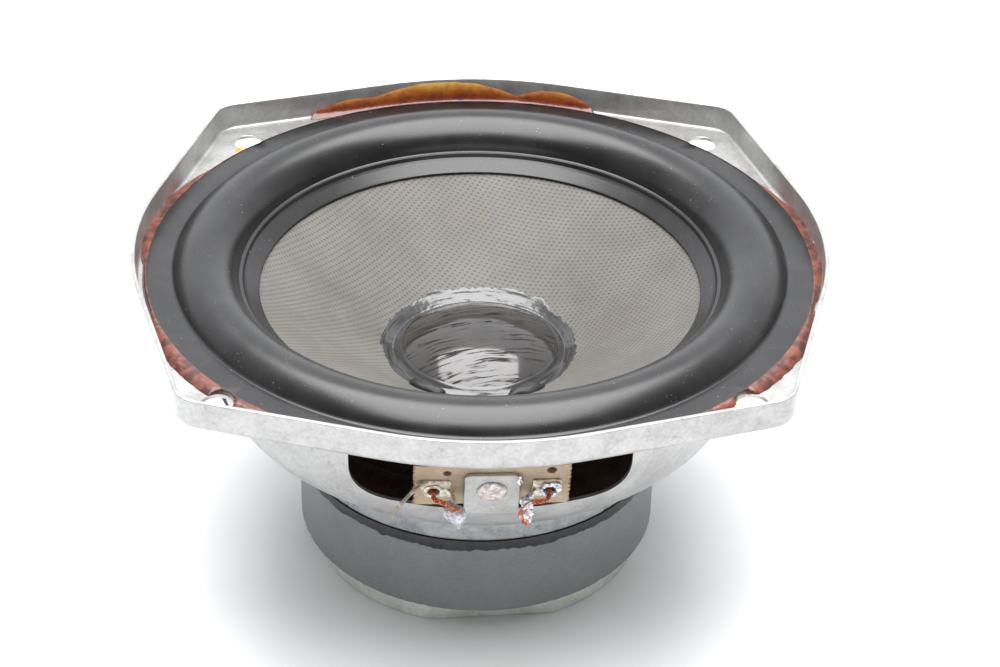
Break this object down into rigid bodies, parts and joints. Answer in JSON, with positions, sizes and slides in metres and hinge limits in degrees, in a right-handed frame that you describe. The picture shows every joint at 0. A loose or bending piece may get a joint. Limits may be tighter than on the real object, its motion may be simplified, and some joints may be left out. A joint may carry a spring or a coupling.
{
  "type": "car speaker driver",
  "caption": "Car speaker driver: pressed steel basket with cornered flange, woven cone on a half-roll rubber surround, ring-magnet motor and riveted terminal board.",
  "frame": {"origin": "centre of the back plate's underside, on the driver's axis", "axes": "+Z along the axis, out of the cone; the terminals face -Y; X and Y run between the mounting corners"},
  "size_m": [0.1672, 0.1672, 0.0856],
  "materials": {
    "zinc_steel": "bright zinc plating, dulled and spotted",
    "plated_steel": "bluish zinc plating",
    "green_zinc": "pale greenish zinc plating",
    "rivet_metal": "dull plated steel",
    "ferrite": "ground ceramic ferrite, matt grey",
    "brown_adhesive": "red-brown contact adhesive",
    "black_adhesive": "black glossy adhesive",
    "cap_glue": "grey lacquer-like glue, brushed on",
    "surround_rubber": "satin rubber",
    "spider_cloth": "resin-treated corrugated cloth",
    "woven_cone": "coarse woven cloth, coated, on a stiff cone",
    "lacquered_cap": "dark lacquer with brush streaks",
    "former_foil": "thin rolled foil",
    "enamelled_copper": "enamelled copper wire",
    "copper_braid": "bright braided copper",
    "solder": "frozen solder, smooth and bright",
    "tinned_brass": "tinned brass, tarnished",
    "board_fibre": "tan fibre board with pinked ends"
  },
  "bodies": {
    "frame_and_motor": {"basket": "zinc_steel", "surround_adhesive": "brown_adhesive", "surround": "surround_rubber", "spider": "spider_cloth", "top_plate": "plated_steel", "magnet": "ferrite", "magnet_adhesive": "black_adhesive", "back_plate": "green_zinc", "pole_piece": "green_zinc", "plate_rivets": "rivet_metal", "terminal_board": "board_fibre", "board_rivet": "rivet_metal", "lug_left": "tinned_brass", "lug_right": "tinned_brass", "eyelet_left": "tinned_brass", "eyelet_right": "tinned_brass", "solder_left": "solder", "solder_right": "solder", "tinsel_lead_left": "copper_braid", "tinsel_lead_right": "copper_braid"},
    "cone_assembly": {"cone": "woven_cone", "dust_cap": "lacquered_cap", "dust_cap_adhesive": "cap_glue", "coil_former": "former_foil", "coil_winding": "enamelled_copper", "lead_anchor_left": "black_adhesive", "lead_anchor_right": "black_adhesive"}
  },
  "joints": [
    {"name": "cone_travel", "type": "slide", "parent": "frame_and_motor", "child": "cone_assembly", "axis": [0, 0, 1], "range_m": [-0.006, 0.006], "stiffness_N_per_m": 1000, "deforming": ["surround", "spider", "tinsel_lead_left", "tinsel_lead_right"]}
  ]
}
